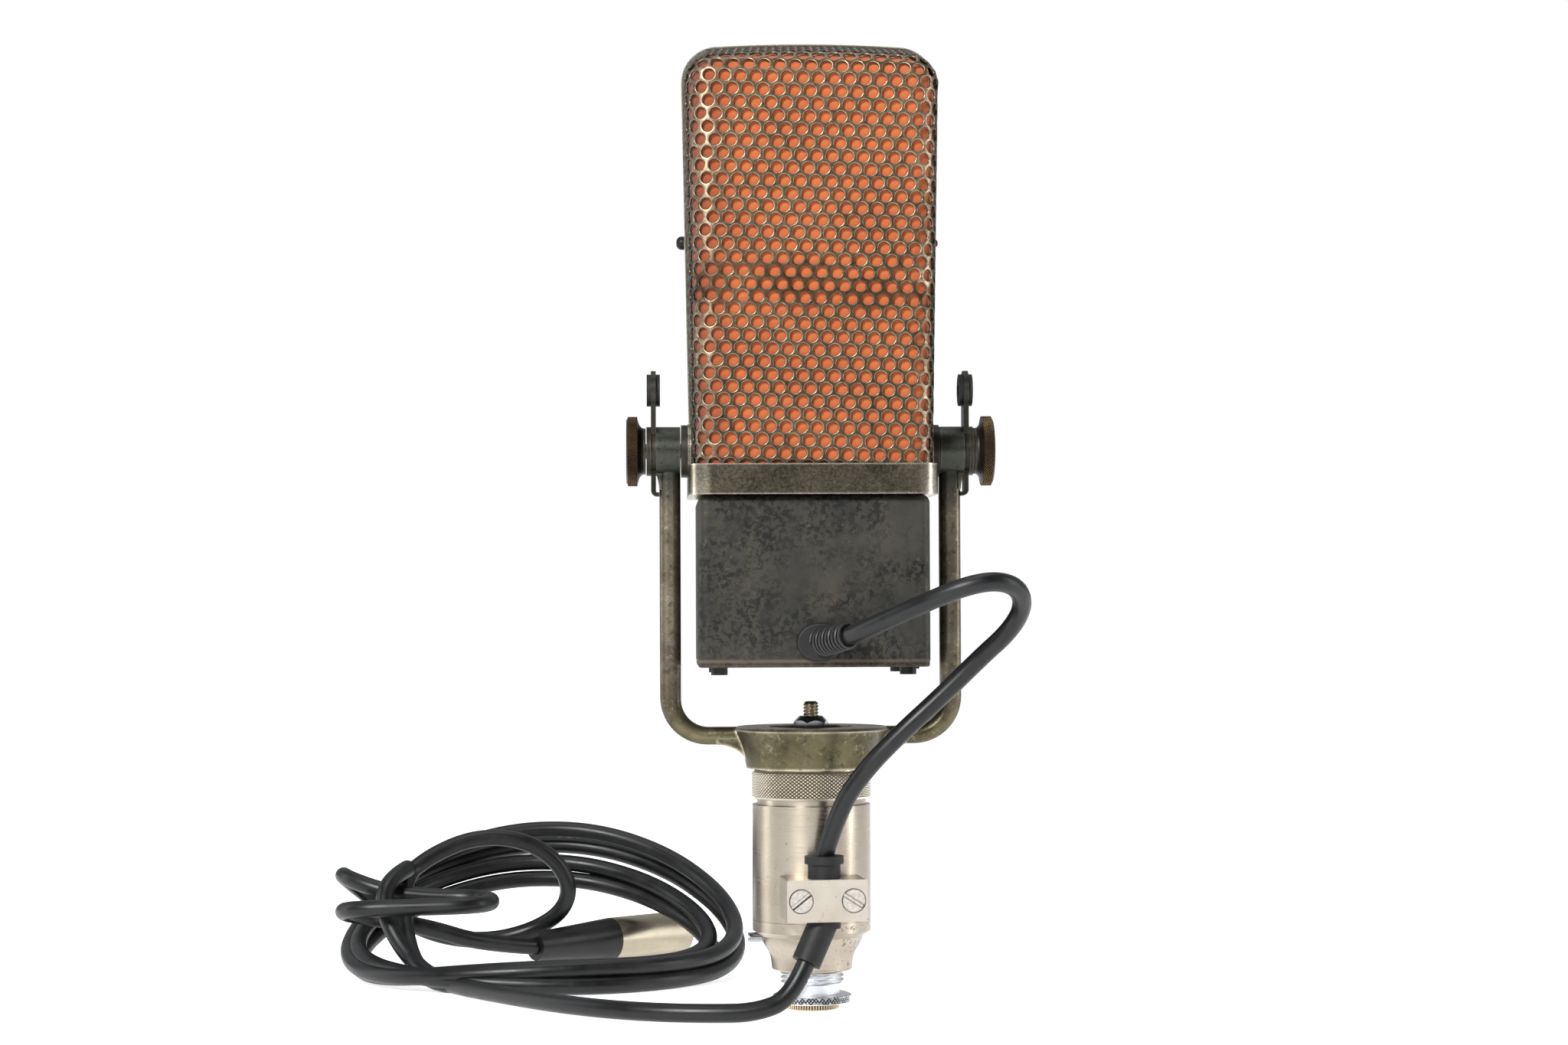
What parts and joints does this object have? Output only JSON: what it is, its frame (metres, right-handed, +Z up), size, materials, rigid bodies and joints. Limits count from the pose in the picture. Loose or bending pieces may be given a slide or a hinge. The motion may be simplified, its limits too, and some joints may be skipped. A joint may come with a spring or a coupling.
{
  "type": "ribbon microphone",
  "caption": "Studio ribbon microphone: perforated rectangular head and transformer case tilting in a U yoke, on a swivelling stand mount with a clamped cable, loose coil and connector plug.",
  "frame": {"origin": "centre of the thread bush's bottom face, on the stand mount's axis", "axes": "+Z up along the stand mount's axis, -Y towards the front of the head, +X to the right of the front view, along the tilt pivots"},
  "size_m": [0.2828, 0.2861, 0.3854],
  "materials": {
    "brass": "aged, satin",
    "chrome": "bright plated",
    "satin_nickel": "turned, warm satin nickel plate",
    "steel": "plain machined",
    "cable_rubber": "matte, dusty",
    "moulded_rubber": "matte",
    "black_plastic": "moulded",
    "nickel_silver": "cast, worn bronze-green patina with bright edges",
    "dark_bronze": "dark bronze, brass showing at the edges",
    "antique_nickel": "antique nickel, worn bright at edges",
    "orange_cloth": "plain fine weave",
    "brown_patina": "near-black brown, mottled",
    "spring_wire": "blackened wire",
    "copper_winding": "varnished",
    "aluminium": "machined",
    "magnet": "cast magnet alloy"
  },
  "bodies": {
    "stand_mount": {"thread_bush": "brass", "thread_adapter": "chrome", "bell_base": "satin_nickel", "swivel_spindle": "steel", "cord_clamp_to_coil": "cable_rubber", "cord_coil": "cable_rubber", "cord_small_loop": "cable_rubber", "cord_tail": "cable_rubber", "plug_boot": "moulded_rubber", "plug_shell": "satin_nickel", "plug_insert": "black_plastic", "plug_pins": "brass"},
    "swivel_head": {"swivel_cylinder": "satin_nickel", "cable_clamp_block": "satin_nickel", "clamp_screws": "steel", "cable_sleeve": "moulded_rubber", "yoke": "nickel_silver", "yoke_stud": "steel", "yoke_nut": "steel", "lock_washer": "steel", "tab_plate_left": "dark_bronze", "tab_plate_right": "dark_bronze", "tab_grommets": "moulded_rubber", "knob_washers": "dark_bronze", "cord_case_to_clamp": "cable_rubber"},
    "microphone": {"front_grille": "antique_nickel", "rear_grille": "antique_nickel", "front_cloth": "orange_cloth", "rear_cloth": "orange_cloth", "centre_frame": "antique_nickel", "side_screws": "dark_bronze", "clamp_band": "antique_nickel", "pivot_studs": "steel", "pivot_spacers": "dark_bronze", "transformer_case": "brown_patina", "bottom_plate": "brown_patina", "bottom_screws": "dark_bronze", "cable_grommet": "moulded_rubber", "relief_spring": "spring_wire", "transformer_core": "steel", "transformer_winding": "copper_winding", "terminal_strip": "black_plastic", "motor_base": "aluminium", "magnet_left": "magnet", "magnet_right": "magnet", "pole_piece_left": "steel", "pole_piece_right": "steel", "ribbon": "aluminium", "ribbon_clamps": "brass", "top_bridge": "aluminium", "ribbon_leads": "copper_winding"},
    "lock_ring": {"lock_ring": "satin_nickel"},
    "set_screw": {"bell_set_screw": "chrome"},
    "left_knob": {"knob_left": "dark_bronze"},
    "right_knob": {"knob_right": "dark_bronze"}
  },
  "joints": [
    {"name": "mount_swivel", "type": "hinge", "parent": "stand_mount", "child": "swivel_head", "pos_m": [0, 0, 0.0354], "axis": [0, 0, 1], "range_deg": [-45, 45], "deforming": ["cord_clamp_to_coil"]},
    {"name": "head_tilt", "type": "hinge", "parent": "swivel_head", "child": "microphone", "pos_m": [0, 0, 0.222], "axis": [1, 0, 0], "range_deg": [-45, 20], "deforming": ["cord_case_to_clamp"]},
    {"name": "lock_ring_turn", "type": "hinge", "parent": "swivel_head", "child": "lock_ring", "pos_m": [0, 0, 0.089], "axis": [0, 0, 1], "range_deg": [-360, 0]},
    {"name": "left_knob_turn", "type": "hinge", "parent": "microphone", "child": "left_knob", "pos_m": [-0.069, 0, 0.222], "axis": [-1, 0, 0], "range_deg": [0, 360]},
    {"name": "right_knob_turn", "type": "hinge", "parent": "microphone", "child": "right_knob", "pos_m": [0.069, 0, 0.222], "axis": [1, 0, 0], "range_deg": [0, 360]},
    {"name": "set_screw_turn", "type": "hinge", "parent": "stand_mount", "child": "set_screw", "pos_m": [-0.024, 0, 0.0282], "axis": [-1, 0, 0], "range_deg": [0, 360]}
  ]
}
